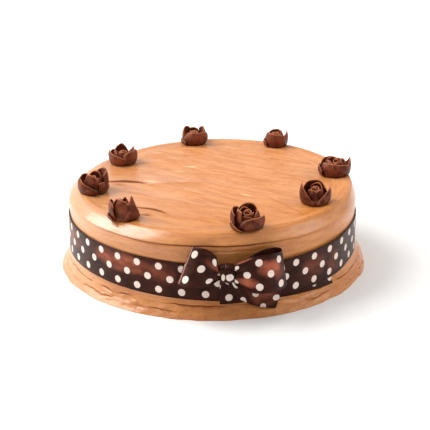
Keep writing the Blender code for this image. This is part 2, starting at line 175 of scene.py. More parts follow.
def make_camera():
    """Stands at the camera's azimuth, elevation and distance from its aim, with the shift
    that puts the aim at its place in the photograph's frame."""
    azimuth, elevation = math.radians(CAMERA_AZIMUTH), math.radians(CAMERA_ELEVATION)
    away = Vector((math.sin(azimuth) * math.cos(elevation),
                   -math.cos(azimuth) * math.cos(elevation), math.sin(elevation)))
    data = bpy.data.cameras.new("camera")
    data.sensor_width = SENSOR_WIDTH
    data.lens = FOCAL_PX / FRAME_PX * SENSOR_WIDTH
    data.clip_start, data.clip_end = 0.05, 50
    data.shift_x = (FRAME_PX / 2 - CAMERA_CENTRE_PX[0]) / FRAME_PX
    data.shift_y = (CAMERA_CENTRE_PX[1] - FRAME_PX / 2) / FRAME_PX
    camera = bpy.data.objects.new("camera", data)
    bpy.context.scene.collection.objects.link(camera)
    camera.location = CAMERA_AIM + CAMERA_DISTANCE * away
    camera.rotation_euler = (-away).to_track_quat("-Z", "Y").to_euler()
    bpy.context.scene.camera = camera


make_camera()


class Value:
    """A number on its way through a material. Arithmetic on it adds Math nodes."""

    def __init__(self, finish, socket):
        self.finish, self.socket = finish, socket

    def maths(self, operation, *others):
        return self.finish.maths(operation, self, *others)

    def __add__(self, other):
        return self.maths("ADD", other)

    def __sub__(self, other):
        return self.maths("SUBTRACT", other)

    def __rsub__(self, other):
        return self.finish.maths("SUBTRACT", other, self)

    def __mul__(self, other):
        return self.maths("MULTIPLY", other)

    def __truediv__(self, other):
        return self.maths("DIVIDE", other)

    def __pow__(self, other):
        return self.maths("POWER", other)

    __radd__, __rmul__ = __add__, __mul__

    def ramp(self, low, high, start=0.0, end=1.0):
        """start up to low, end from high, and a soft S between."""
        return self.finish.node("ShaderNodeMapRange", {"interpolation_type": "SMOOTHSTEP"},
                                [self, low, high, start, end]).value()


class Made:
    """A node with its outputs at hand by name."""

    def __init__(self, finish, node):
        self.finish, self.node = finish, node

    def value(self, name=0):
        return Value(self.finish, self.node.outputs[name])

    def socket(self, name=0):
        return self.node.outputs[name]


class Finish:
    """A material under construction. Its shader's sockets are set by name."""

    def __init__(self, name, world=None, **constants):
        self.material = world or bpy.data.materials.new(name)
        self.material.use_nodes = True
        self.tree = self.material.node_tree
        self.shader = self.tree.nodes["Background" if world else "Principled BSDF"]
        self.feed(self.shader, {key.replace("_", " "): value for key, value in constants.items()})

    def feed(self, node, inputs):
        pairs = inputs.items() if isinstance(inputs, dict) else enumerate(inputs)
        for key, value in pairs:
            if isinstance(value, Value):
                value = value.socket
            if isinstance(value, bpy.types.NodeSocket):
                self.tree.links.new(value, node.inputs[key])
            else:
                node.inputs[key].default_value = value

    def node(self, kind, settings=None, inputs=()):
        """A node of the kind, its settings made first, then its sockets linked or filled."""
        node = self.tree.nodes.new(kind)
        for key, value in (settings or {}).items():
            setattr(node, key, value)
        self.feed(node, inputs)
        return Made(self, node)

    def maths(self, operation, *values):
        return self.node("ShaderNodeMath", {"operation": operation}, values).value()

    def set(self, **inputs):
        self.feed(self.shader, {key.replace("_", " "): value for key, value in inputs.items()})

    def place(self):
        return self.node("ShaderNodeTexCoord").socket("Object")

    def cloth(self):
        return self.node("ShaderNodeUVMap", {"uv_map": "cloth"}).socket()

    def parts(self, vector):
        split = self.node("ShaderNodeSeparateXYZ", None, [vector])
        return split.value(0), split.value(1), split.value(2)

    def mapped(self, vector, scale, shift=(0, 0, 0)):
        return self.node("ShaderNodeMapping", None, {
            "Vector": vector, "Scale": scale, "Location": shift}).socket()

    def cloud(self, vector, scale, detail, roughness=0.5):
        """Cloudy noise, about 0.3 to 0.7."""
        return self.node("ShaderNodeTexNoise", None, {
            "Vector": vector, "Scale": scale, "Detail": detail, "Roughness": roughness}).value(0)

    def blend(self, share, first, second, mode="MIX"):
        """From the first colour to the second as share goes from 0 to 1. Sockets 0, 6 and 7
        are a colour mix's factor and colours, and output 2 is its result."""
        return self.node("ShaderNodeMix", {"data_type": "RGBA", "blend_type": mode},
                         {0: share, 6: first, 7: second}).socket(2)

    def bump(self, height, strength):
        """A normal from heights in metres."""
        return self.node("ShaderNodeBump", None, {
            "Height": height, "Distance": 1.0, "Strength": strength}).socket()


def colour(red, green, blue):
    """Screen values, 0 to 255, as the linear colour a shader takes."""
    parts = (np.array([red, green, blue]) / 255 + 0.055) / 1.055
    return (*np.power(parts, 2.4).tolist(), 1)


# The icing's colours, as screen values
ICING_REDDER, ICING_PALER = (196, 124, 69), (219, 152, 97)
ICING_MOTTLE, ICING_STREAK, ICING_PIT = (224, 154, 106), (184, 110, 58), (150, 84, 42)
ICING_HIGHLIGHT, ICING_FRONT_SHADE, ICING_LEFT_LIGHT = (250, 216, 172), (246, 233, 190), (238, 186, 140)
ICING_GRAIN, ICING_FURROW_SHADE, ICING_GAP_SHADE = (176, 104, 58), (164, 94, 44), (92, 44, 20)


def buttercream():
    """Milk chocolate buttercream drawn smooth with a knife: broad paler and redder bands along
    the strokes, fine streaks in the bump, painted shade in the creases and painted highlights
    on the ridges, specks, and pits that are thickest at the foot. Painted shade deepens its
    tone at the front and painted light makes it paler at the far left, and it shines along
    the shoulder, where the knife was pressed."""
    finish = Finish("buttercream", Specular_IOR_Level=0.3, Coat_Roughness=0.25, Coat_IOR=1.85)
    strokes, place = finish.cloth(), finish.place()
    right, back, height = finish.parts(place)
    # crease holds painted shade, and painted highlights where it is below 0
    crease = finish.node("ShaderNodeAttribute", {"attribute_name": "crease"}).value("Fac")
    bands = finish.cloud(finish.mapped(strokes, (0.026, 0.17, 1)), 1.0, 4.0, 0.65)
    streaks = finish.cloud(finish.mapped(strokes, (0.045, 1.0, 1), (3, 7, 0)), 1.0, 3.0, 0.6)
    mottle = finish.cloud(place, 130, 3.0, 0.6)
    grain = finish.cloud(place, 900, 2.0)
    low = 1 - height.ramp(0.004, 0.013)
    pits = (finish.cloud(place, 420, 1.0) + low * 0.06).ramp(0.69, 0.76)
    front = back.ramp(0, -0.08)
    tone = finish.blend(bands.ramp(0.34, 0.66), colour(*ICING_REDDER), colour(*ICING_PALER))
    for share, tint, mode in (
            (mottle.ramp(0.4, 0.65) * 0.3, ICING_MOTTLE, "MIX"),
            (streaks.ramp(0.54, 0.66) * 0.18, ICING_STREAK, "MIX"),
            (pits * 0.35, ICING_PIT, "MIX"),
            # Painted highlights, where the crease attribute is below 0
            (crease.ramp(0, -1) * 0.8, ICING_HIGHLIGHT, "MIX"),
            # Painted shade, deepening the tone towards the front
            (front * 0.8, ICING_FRONT_SHADE, "MULTIPLY"),
            # Painted light, paler at the far left where the light falls
            (right.ramp(-0.06, -0.11) * 0.4, ICING_LEFT_LIGHT, "MIX"),
            (grain.ramp(0.5, 0.7) * 0.25, ICING_GRAIN, "MIX"),
            # Painted shade from the crease attribute: knife lines, gouges, creases and gaps
            (crease.ramp(0, 0.6) * 0.65, ICING_FURROW_SHADE, "MIX"),
            (crease.ramp(0.55, 1.0) * 0.85, ICING_GAP_SHADE, "MIX")):
        tone = finish.blend(share, tone, colour(*tint), mode)
    shoulder = height.ramp(0.04, 0.054, 0.5, 1.0) * (1 - height.ramp(0.0585, 0.0605))
    shine = shoulder * streaks.ramp(0.2, 0.6)
    shine = shine * (1 - front * right.ramp(-0.055, -0.025) * 0.6)
    roughness = streaks.ramp(0.3, 0.7, 0.3, 0.46) + crease.ramp(0, 0.5) * 0.4
    relief = streaks * 0.00032 + grain * 0.00009 - pits * 0.00025
    finish.set(Base_Color=tone, Roughness=roughness, Normal=finish.bump(relief, 0.85),
               Coat_Weight=shine * (1 - crease.ramp(0.3, 0.7)))
    return finish.material


# Knife lines over the top, as mm to the right and to the back of its middle
KNIFE_LINES = [
    [(-76, 28), (-58, 30), (-36, 34), (-6, 20), (12, 14), (28, 9), (42, 2), (58, -12)],
    [(-84, 8), (-75, 6), (-58, 5), (-45, -2.5), (-34, -7), (-9, -22), (12, -32), (22, -40)],
    [(-50, -2), (-30, 2), (-5, 0), (10, -9), (27, -17), (39, -29), (51, -47), (61, -61), (66, -74)],
    [(-70, -30), (-51, -49), (-42, -53), (-29, -65), (-15, -69), (4, -74), (20, -76)],
    [(-60, -16), (-45, -27), (-34, -34), (-24, -39), (-12, -44), (0, -50), (12, -62)],
    [(-48, 58), (-22, 52), (12, 39), (27, 37), (42, 29), (54, 19), (61, 12), (74, -8)],
    [(-60, 66), (-30, 66), (0, 62), (24, 60), (42, 61), (59, 54), (76, 37)],
    [(-40, 82), (-10, 80), (20, 76), (44, 74), (62, 66)],
    [(-70, 46), (-45, 46), (-20, 40), (0, 30), (24, 22), (44, 12), (62, 0)],
]
STROKE_TURN = math.radians(-29)
# Radius in mm at which the strokes give way to the raised rim
STROKES_END = 87
# Painted highlights, pale streaks on ridges of the top: from, to and half width in mm
PAINTED_HIGHLIGHTS = [((-21, 38.5), (-6, 34), 1.7), ((-52, 8.5), (-38, 4), 1.3), ((-30, 27), (-20, 25), 0.8),
          ((20, -22), (29, -27), 0.9)]
# Marks where the knife was set down: from, to, half width and depth in mm, and how
# dark the shadow painted in each is
GOUGES = [
    ((-77, 5.8), (-54, 4.4), 2.7, 0.3, 3.0), ((-74, -1.5), (-62, -3), 2.4, 0.3, 0.5),
    ((-52, -48), (-35, -57), 2.0, 0.8, 2.6), ((-51, -61.5), (-42, -65), 2.2, 0.5, 0.9),
]


def to_picture(x, y):
    """Turns the cake's x and y into right and back as the camera sees them, in mm."""
    turn = math.radians(CAMERA_AZIMUTH)
    return ((x * math.cos(turn) + y * math.sin(turn)) / MM,
            (y * math.cos(turn) - x * math.sin(turn)) / MM)


def along_strokes(right, back):
    """Distances along the knife's heading, and square to it towards the back."""
    return (right * math.cos(STROKE_TURN) + back * math.sin(STROKE_TURN),
            back * math.cos(STROKE_TURN) - right * math.sin(STROKE_TURN))


def knife_relief(right, back):
    """Height in mm of the overlapping strokes, and the shade painted dark along the lines. Up
    to a line the icing swells by e^(d/8), at it there is a sharp drop, and past it the furrow
    of -e^(-d/2.4) / 2 fills again."""
    along, across = along_strokes(right, back)
    wander = (1.1 * flat_noise(along, across, (26, 40), seed=2)
              + 0.3 * flat_noise(along, across, (7, 40), seed=14))
    height, dark = np.zeros_like(right), np.zeros_like(right)
    for number, line in enumerate(KNIFE_LINES):
        line = np.array(line, float)
        line_along, line_across = along_strokes(line[:, 0], line[:, 1])
        order = np.argsort(line_along)
        away = across - np.interp(along, line_along[order], line_across[order]) - wander
        ends = (smooth((along - line_along.min() + 4) / 14)
                * smooth((line_along.max() + 4 - along) / 14))
        depth = ends * (0.75 + 0.45 * flat_noise(along, 0 * along + 9 * number, (22, 1), seed=5))
        past = smooth((away + 0.7) / 1.4)
        furrow = 0.5 * np.exp(-np.abs(away) / 2.4) * past
        swell = np.exp(-np.abs(np.minimum(away, 0)) / 8) * (1 - past)
        height += depth * 1.05 * (swell - furrow)
        # Painted shade where each step falls away
        dark += 0.55 * depth * bell((away - 0.2) / 1.5)
    ripples = (0.15 * flat_noise(along, across, (30, 4.2), seed=8)
               + 0.06 * flat_noise(along, across, (16, 1.9), seed=9))
    return height + ripples, dark


def beside(right, back, start, end):
    """The share of the way from start to end, and the distance to the left of that line."""
    (x0, y0), (x1, y1) = start, end
    length = math.hypot(x1 - x0, y1 - y0)
    ahead = ((right - x0) * (x1 - x0) + (back - y0) * (y1 - y0)) / length
    aside = ((back - y0) * (x1 - x0) - (right - x0) * (y1 - y0)) / length
    return ahead / length, aside


def gouge_relief(right, back):
    """Short bent furrows where the knife was set down, each with a raised lip on its near
    side, and a shadow painted dark along each."""
    height, dark = np.zeros_like(right), np.zeros_like(right)
    for start, end, width, depth, darkness in GOUGES:
        share, aside = beside(right, back, start, end)
        aside = aside - 1.4 * np.sin(np.clip(share, 0, 1) * math.pi)
        reach = bell((share - 0.5) / 0.52)
        lip = 0.45 * depth * bell((aside + 2 * width) / width)
        height += reach * (-depth * bell(aside / width) + lip)
        dark += darkness * reach * bell(aside / width)
    return height, dark


def painted_highlight_share(right, back):
    """1 along the middle of each painted highlight, fading like a bell to its sides and its ends.
    """
    pale = np.zeros_like(right)
    for start, end, width in PAINTED_HIGHLIGHTS:
        share, aside = beside(right, back, start, end)
        aside = aside + 1.6 * flat_noise(right, back, (7, 7), seed=27)
        pale += bell((share - 0.5) / 0.5) * bell(aside / width)
    return pale


def top_relief(x, y, inner):
    """Height above the flat top in metres, and painted shade, negative where a highlight is
    painted: strokes inside, a raised rim outside them, and level at each rose."""
    right, back = to_picture(x, y)
    radius = np.hypot(x, y)
    wave = 3 * flat_noise(right, back, (25, 25), seed=3)
    share = 1 - smooth((radius / MM - STROKES_END - wave) / 7)
    wave = flat_noise(right, back, (30, 30), seed=4)
    ridge = 0.5 * bell(((inner - radius) / MM - 3 - wave) / 2.2)
    strokes, dark = knife_relief(right, back)
    dug, gouge_shadow = gouge_relief(right, back)
    round_rim = flat_noise(np.degrees(np.arctan2(x, -y)), radius / MM, (30, 3.5), seed=6)
    height = share * (strokes - 0.25) + ridge + dug + 0.14 * round_rim * (1 - share)
    for azimuth, spot, *_ in ROSES.values():
        middle = at_azimuth(azimuth, spot * MM, 0)
        height = height * smooth((np.hypot(x - middle[0], y - middle[1]) / MM - 8) / 4)
    rim = smooth((inner - radius) / (1.6 * MM))
    return height * rim * MM, (share * dark + gouge_shadow - painted_highlight_share(right, back)) * rim


def foot_swell(azimuth, height):
    """The flare at the foot: F (1 - h/H)^2, and a fuller M (1 - (h/L)^1.6) on the right."""
    flare = BASE_FLARE * np.maximum(0, 1 - height / FLARE_HEIGHT) ** 2
    mound = MOUND * (1 - np.clip(height / MOUND_HEIGHT, 0, 1) ** 1.6)
    right = bell((azimuth - MOUND_AZIMUTH) / MOUND_SPREAD)
    return flare + (mound - flare) * right


def tilt(x):
    """The cake stands a little higher to the right."""
    return TOP_TILT * x


# The crease under the shoulder: its height in mm. The torn lips at the foot: height, size and
# wave in mm, and the seed of their noise.
CREASE_HEIGHT = 51.9
TORN_LIPS = ((9.4, 0.95, 0.9, 19), (4.6, 0.6, 1.2, 23))


def side_lines(azimuth, height):
    """Relief in mm, and painted shade, of the lines round the side: a crease under the shoulder,
    deepest at the front, with shade painted along it, and at the foot two torn lips with a
    shadow painted dark under each. The foot has a little painted shade at the front."""
    place = at_azimuth(azimuth, WALL_RADIUS, 0.0)
    front = 0.35 + 0.65 * np.maximum(0, np.cos(np.radians(azimuth - 2) * 0.9))
    pressed = 0.12 + 0.88 * bell((azimuth + 6) / 42)
    away = (height / MM - CREASE_HEIGHT - 0.5 * noise(place, 30 * MM, seed=17)
            - 0.15 * noise(place, 9 * MM, seed=18))
    relief = pressed * (0.45 * bell((away - 1.7) / 1.3) - 1.15 * bell(away / 0.85))
    # Painted shade along the crease under the shoulder
    dark = pressed * bell(away / 0.6)
    # Painted shade at the front of the foot
    dark = dark + 0.16 * front**2 * smooth((15 - height / MM) / 3)
    for line, size, wave, seed in TORN_LIPS:
        torn = wave * noise(place, 15 * MM, seed) + 0.45 * noise(place, 3.5 * MM, seed + 1)
        away = height / MM - line - torn
        broken = smooth((noise(place, 13 * MM, seed + 2) + 0.4) / 0.8)
        share = 1.1 * size * broken * (0.55 + 0.45 * front)
        lip = 0.8 * np.exp(-np.maximum(away, 0) / 2.6) * smooth((away + 0.3) / 0.6)
        relief += share * (lip - 0.75 * bell((away + 0.7) / 0.7))
        # Painted shadow under each torn lip
        dark += share * 1.1 * bell((away + 0.5) / 0.55)
    return relief, dark


def wall_radius(azimuth, height):
    """Radius of the side, and the shade painted on it: level behind the ribbon, waved above it,
    the lines of side_lines, and a streaked, flared foot."""
    round_side = at_azimuth(azimuth, WALL_RADIUS, height)
    foot = foot_swell(azimuth, height) * (1 + 0.12 * noise(round_side * [1, 1, 0], 9 * MM, seed=3))
    torn = smooth((12 * MM - height) / (3 * MM)) * smooth(height / (1.5 * MM))
    foot = foot + 0.5 * MM * torn * noise(round_side * [1, 1, 2.4], 5 * MM, seed=5)
    clear = smooth((height - 43 * MM) / (4 * MM))
    stretched = round_side * [1, 1, 3.0]
    waves = clear * (0.4 * noise(stretched, 26 * MM, seed=11)
                     + 0.16 * noise(stretched * [1, 1, 2.6], 9 * MM, seed=12))
    below = smooth((14.5 * MM - height) / (2 * MM)) * 0.15 * noise(stretched, 8 * MM, seed=15)
    relief, dark = side_lines(azimuth, height)
    return RIBBON_WALL + (0.4 * clear + relief + waves + below) * MM + foot, dark


CAKE_COLUMNS = 480
# Power of the sine and cosine that round the shoulder
SHOULDER_POWER = 1.7


def cake_rings():
    """Rings from the middle of the top, over the shoulder and down the wall: a share of the
    flat radius, a share of the shoulder's quarter turn and a height on the wall for each."""
    flat = np.linspace(0, 1, 120)[1:] ** 0.92
    turn = np.linspace(0, math.pi / 2, 19)[1:]
    heights = np.concatenate([
        np.linspace(53, 43, 27)[1:], np.linspace(43, 14, 7)[1:], np.linspace(14, 0, 37)[1:]]) * MM
    return flat, turn, heights


def make_cake(material):
    """Rings of points drawn outwards over the top, down a cut-off shoulder whose section is
    the curve x^1.18 + y^1.18 = 1, and down the side, closed underneath. The attribute crease
    holds painted shade, negative where a highlight is painted pale: it also has a dark line
    painted along the rim at the back and another along the left shoulder."""
    flat, turn, heights = cake_rings()
    azimuths = np.linspace(-180, 180, CAKE_COLUMNS, endpoint=False)
    rim, rim_dark = wall_radius(azimuths, np.full_like(azimuths, SHOULDER_HEIGHT))
    inner = np.interp(azimuths, RIM_AZIMUTHS, RIM_RADII) * MM
    inner = inner + 0.5 * MM * noise(at_azimuth(azimuths, WALL_RADIUS, 0.0), 24 * MM, seed=13)
    top = at_azimuth(azimuths[None, :], flat[:, None] * inner, 0.0)
    relief, top_dark = top_relief(top[..., 0], top[..., 1], inner)
    past_rim = (1 - flat[:, None]) * inner / MM
    # A dark line painted along the rim at the back
    top_dark = top_dark + 0.4 * bell(past_rim / 1.6) * bell((np.abs(azimuths) - 180) / 42)
    top[..., 2] = CAKE_HEIGHT + relief + tilt(top[..., 0])
    sink = CAKE_HEIGHT - SHOULDER_HEIGHT
    turn = turn[:, None]
    out, up = np.sin(turn) ** SHOULDER_POWER, np.cos(turn) ** SHOULDER_POWER
    shoulder_azimuth = np.broadcast_to(azimuths, (len(turn), len(azimuths)))
    unrolled = at_azimuth(shoulder_azimuth, WALL_RADIUS, 3 * turn * 9 * MM)
    dents = 0.22 * noise(unrolled, 22 * MM, seed=16)
    shoulder_radius = inner + (rim - inner) * out + dents * np.sin(2 * turn) * MM
    rim_rise = sink + tilt(inner * np.sin(np.radians(azimuths)))
    shoulder = at_azimuth(shoulder_azimuth, shoulder_radius, SHOULDER_HEIGHT + rim_rise * up)
    wall_azimuth, wall_height = np.meshgrid(azimuths, heights)
    side, side_dark = wall_radius(wall_azimuth, wall_height)
    wall = at_azimuth(wall_azimuth, side, wall_height)
    rings = np.concatenate([top, shoulder, wall])
    # A dark line painted along the left shoulder
    cut = 0.45 * bell((azimuths + 58) / 13) * bell((turn - 0.35) / 0.13)
    shoulder_dark = rim_dark * np.sin(turn) ** 12 + cut
    dark = np.concatenate([[0, 0], top_dark.ravel(), shoulder_dark.ravel(), side_dark.ravel()])
    middle = float(top_relief(np.zeros(1), np.zeros(1), 0.1)[0][0])
    points = np.concatenate([[[0, 0, CAKE_HEIGHT + middle], [0, 0, 0]], rings.reshape(-1, 3)])
    count, last = len(azimuths), len(points) - len(azimuths)
    faces = grid_faces(len(rings), count, closed=True, first=2)[:, ::-1]
    here = np.arange(count)
    fans = [[0, 2 + a, 2 + (a + 1) % count] for a in here]
    fans += [[1, last + (a + 1) % count, last + a] for a in here]
    piece = new_piece("cake_icing", points, faces.tolist() + fans, material, cake_uv(points))
    crease = piece.data.attributes.new("crease", "FLOAT", "POINT")
    crease.data.foreach_set("value", np.clip(dark, -1, 1))
    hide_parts("cake")


# Radius in mm at which the cloth map turns from the top's strokes to the side, and how far
# the side's part is moved, so that its streaks are others
MAP_EDGE = 86
SIDE_SHIFT = (400, 90)


def cake_uv(points):
    """In mm: over the top, distance along the strokes and across them, a little waved; on the
    side, distance round the cake and down from the top."""
    right, back = to_picture(points[:, 0], points[:, 1])
    along, across = along_strokes(right, back)
    across = across + 5 * flat_noise(along, across, (40, 60), seed=21)
    radius = np.hypot(points[:, 0], points[:, 1]) / MM
    around = np.abs(np.arctan2(points[:, 0], -points[:, 1])) * WALL_RADIUS / MM
    down = radius - MAP_EDGE + (CAKE_HEIGHT - points[:, 2]) / MM
    outside = radius > MAP_EDGE
    return np.stack([np.where(outside, around + SIDE_SHIFT[0], along),
                     np.where(outside, down + SIDE_SHIFT[1], across)], axis=-1)


# A rose: its azimuth, its distance from the middle of the cake and its reach in mm, its bud
# (shift, size and height in mm, and where it starts to turn) and its petals.
# A petal: the azimuth it faces and half the angle it wraps, its height in mm, how far its
# lip leans out, where along it the tip is (-1 to 1), how blunt the tip is (1 a point, 3 round),
# the share of the height lost away from the tip, and how far it stands inside the others.
ROSES = {
    "rose_1": (10.8, 91.8, 11.2, (0.2, 4.6, 12.5, 215), [
        (28, 70, 9.8, 0.6, 0.25, 2.0, 0.34, 0), (-74, 44, 14.0, -0.8, 0.1, 2.6, 0.16, 1.8),
        (-104, 52, 13.8, 0.6, 0.0, 2.6, 0.2, -0.4), (-52, 32, 6.2, 2.2, -0.7, 1.0, 0.75, -1.4),
        (163, 74, 14.8, -0.6, 0.0, 2.4, 0.34, 1.2), (84, 48, 11.8, -0.6, 0.3, 2.2, 0.4, 3.0),
        (-10, 60, 9.4, -0.4, -0.2, 2.4, 0.3, 4.2), (200, 60, 12.8, -0.4, 0.0, 2.2, 0.3, 3.8)]),
    "rose_2": (56.1, 83.7, 11.0, (0.3, 4.4, 11.6, 150), [
        (-68, 60, 15.6, 0.8, -0.2, 1.15, 0.82, 0), (58, 62, 12.6, 0.6, 0.3, 1.15, 0.8, 0),
        (172, 80, 13.8, -0.6, 0.0, 2.6, 0.3, 0.8), (-10, 34, 4.0, 0.0, 0.0, 2.0, 0.4, 2.6),
        (150, 62, 12.4, -0.6, 0.0, 2.2, 0.3, 3.2), (-44, 50, 11.0, -0.6, 0.2, 2.0, 0.35, 3.2),
        (48, 46, 10.2, -0.5, -0.2, 2.0, 0.35, 4.2)]),
    "rose_3": (96.3, 92.4, 11.2, (2.2, 4.6, 12.4, 120), [
        (-5, 82, 10.4, 0.4, -0.3, 2.6, 0.25, 0), (-82, 30, 8.6, 1.0, -0.2, 1.3, 0.5, -1.2),
        (-42, 50, 11.2, -0.4, 0.0, 2.4, 0.35, 1.8), (-155, 50, 10.8, 0.0, 0.0, 4.0, 0.2, 0.6),
        (84, 50, 12.8, 0.8, 0.2, 1.0, 0.7, -0.4), (130, 45, 9.6, 0.0, 0.0, 2.2, 0.4, 0.8),
        (-60, 46, 12.0, -0.2, 0.2, 2.0, 0.4, 3.2), (22, 48, 11.2, -0.6, 0.1, 2.2, 0.3, 3.6),
        (180, 64, 10.8, -0.4, 0.0, 2.2, 0.3, 2.4)]),
    "rose_4": (145.3, 98.6, 8.9, (0.4, 4.0, 10.4, 200), [
        (-26, 80, 11.2, 0.2, -0.3, 2.6, 0.2, 0), (62, 46, 12.2, 0.4, 0.45, 1.0, 0.55, 0.0),
        (170, 66, 10.8, 0.0, 0.0, 2.2, 0.3, 0.6), (-84, 36, 6.0, 1.2, 0.0, 2.0, 0.5, -0.8),
        (-30, 60, 11.8, -0.8, 0.1, 2.0, 0.3, 2.2), (110, 60, 11.0, -0.8, 0.0, 2.2, 0.25, 2.6)]),
    "rose_5": (184, 95, 10.2, (0.1, 4.2, 9.6, 90), [
        (4, 78, 10.4, 0.0, 0.1, 2.8, 0.25, 0), (-70, 34, 4.6, 0.9, -0.2, 1.6, 0.5, -0.6),
        (-112, 50, 12.2, 0.0, -0.1, 3.0, 0.42, 0.9), (112, 46, 11.7, 0.0, 0.1, 2.6, 0.4, 0.9),
        (180, 40, 9.8, 0.0, 0.0, 3.0, 0.2, 1.4), (-20, 60, 10.8, -0.8, 0.0, 2.2, 0.3, 2.8)]),
    "rose_6": (230.1, 83.3, 10.6, (0.2, 4.2, 9.6, 60), [
        (-46, 60, 10.6, 2.2, -0.7, 1.5, 0.42, 0), (56, 62, 11.0, 0.4, 0.1, 2.6, 0.3, 0),
        (186, 50, 12.6, 0.0, 0.0, 1.6, 0.5, 0.8), (118, 28, 11.4, 0.6, 0.2, 1.0, 0.5, 0.2),
        (-120, 40, 9.0, 0.4, 0.0, 2.0, 0.4, 0.6), (-10, 46, 10.2, -0.4, 0.1, 2.0, 0.4, 3.0),
        (70, 50, 11.2, -0.4, 0.0, 2.2, 0.3, 2.4), (-80, 50, 10.2, -0.6, 0.0, 2.2, 0.3, 3.0)]),
    "rose_7": (274.9, 87.3, 11.0, (0.2, 4.2, 11.5, 300), [
        (-48, 68, 11.4, 0.8, -0.65, 1.3, 0.66, -0.4), (-16, 58, 14.6, -0.8, -0.2, 2.4, 0.5, 2.2),
        (62, 42, 9.0, 0.8, -0.5, 1.6, 0.5, 0.2), (112, 64, 16.0, 0.6, -0.1, 3.2, 0.3, 0.0),
        (-130, 44, 11.5, 0.2, 0.0, 2.4, 0.4, 0.6), (160, 54, 13.2, -0.2, 0.0, 2.4, 0.3, 2.4),
        (40, 50, 11.0, -0.6, 0.0, 2.2, 0.35, 3.6)]),
    "rose_8": (313.4, 91, 10.8, (0.3, 3.0, 11.5, 20), [
        (-84, 44, 13.4, 0.8, 0.0, 3.0, 0.22, -0.2), (-24, 48, 15.4, -0.6, -0.2, 2.8, 0.36, 2.2),
        (36, 46, 18.6, -1.8, 0.08, 1.0, 0.93, 0), (172, 40, 12.6, -0.6, 0.1, 1.1, 0.5, 1.8),
        (100, 40, 5.4, 0.2, 0.0, 2.0, 0.5, 0.8), (-74, 34, 3.8, 1.6, -0.3, 1.6, 0.5, -1.2),
        (-150, 44, 11.0, 0.0, 0.0, 2.4, 0.4, 1.0)]),
}
ROSE_LIFT = 0.3 * MM


def thick_sheet(points, thickness):
    """A closed shell round a grid of points: each side stands off half the thickness along
    the normal, the cross product of the grid's two directions, and the border joins them."""
    rows, columns = points.shape[:2]
    normal = np.cross(np.gradient(points, axis=1), np.gradient(points, axis=0))
    normal /= np.linalg.norm(normal, axis=-1, keepdims=True) + 1e-12
    offset = normal * np.asarray(thickness)[..., None] / 2
    count = rows * columns
    outer = grid_faces(rows, columns)
    inner = outer[:, ::-1] + count
    number = np.arange(count).reshape(rows, columns)
    border = np.concatenate([number[0, :], number[1:, -1], number[-1, -2::-1], number[-2:0:-1, 0]])
    following = np.roll(border, -1)
    wall = np.stack([border, following, following + count, border + count], axis=-1)[:, ::-1]
    both = np.concatenate([(points + offset).reshape(-1, 3), (points - offset).reshape(-1, 3)])
    return both, np.concatenate([outer, inner, wall])


def petal_points(reach, petal, number, rows=15, columns=29):
    """A cupped petal. Its rim height is tall (1 - drop |(u - tip) / (1 + |tip|)|^blunt), its
    radius swells from a broad foot as sin(2.6v)^0.7 and leans as (lip - 1.1) v^2, and one side
    edge stands outside the next petal, by u v."""
    facing, wrap, tall, lip, tip, blunt, drop, inset = petal
    v, u = np.meshgrid(np.linspace(0, 1, rows) ** 0.8, np.linspace(-1, 1, columns), indexing="ij")
    wavy = 0.35 * flat_noise(u, 0 * u + number, (0.35, 1), seed=31)
    rim = tall * (1 - drop * np.abs((u - tip) / (1 + abs(tip))) ** blunt) + wavy
    full = reach - inset
    radius = full * (0.86 + 0.14 * np.sin(2.6 * v) ** 0.7) + (lip - 1.1) * v**2 + 1.0 * u * v
    radius += 0.3 * flat_noise(2 * u, 2 * v + number, (1, 1), seed=33) * v
    azimuth = facing + wrap * u * (1 - 0.12 * v)
    points = at_azimuth(azimuth, radius * MM, (0.5 + v * (rim - 0.5)) * MM)
    thickness = (1.15 - 0.65 * v**2) * (1 - 0.45 * np.abs(u) ** 6) * MM
    return points, thickness


BUD_TURN = 620


def bud_points(bud, rows=9, columns=64):
    """The rolled heart: a sheet wound 1.7 times, its radius growing as u^0.75, its top slanted
    and a little waved."""
    offset, size, tall, start = bud
    v, u = np.meshgrid(np.linspace(0, 1, rows), np.linspace(0, 1, columns), indexing="ij")
    turn = start + BUD_TURN * u
    radius = 0.5 + (size - 0.5) * u**0.75 * (1 - 0.22 * v**2)
    top = tall * (1 - 0.2 * u + 0.06 * np.sin(np.radians(turn * 1.5)))
    points = at_azimuth(turn, radius * MM, (1 + v * (top - 1)) * MM)
    points[..., 0] += offset * MM
    return points, (0.95 - 0.35 * v) * MM


def core_points(reach, columns=40):
    """The pad of chocolate under the petals, from a profile turned round: a flat foot, a bulge
    and a flat top. Heights are in mm, and radii are shares of the rose's reach."""
    height = np.array([0, 0, 0.6, 1.6, 2.8, 3.8, 4.2, 4.2])
    radius = np.array([0, 0.78, 0.86, 0.88, 0.84, 0.72, 0.55, 0]) * reach
    turn = np.linspace(0, 360, columns, endpoint=False)
    return at_azimuth(turn[None, :], np.maximum(radius, 0.01)[:, None] * MM, height[:, None] * MM)


# The modelling chocolate's colours, as screen values
CHOCOLATE_DARK, CHOCOLATE_PALE, CHOCOLATE_BACK_LIGHT = (80, 32, 18), (126, 63, 40), (156, 90, 66)
CHOCOLATE_FOOT_SHADE, CHOCOLATE_GRAIN, CHOCOLATE_RIM_HIGHLIGHT = (48, 18, 11), (56, 22, 14), (198, 118, 78)


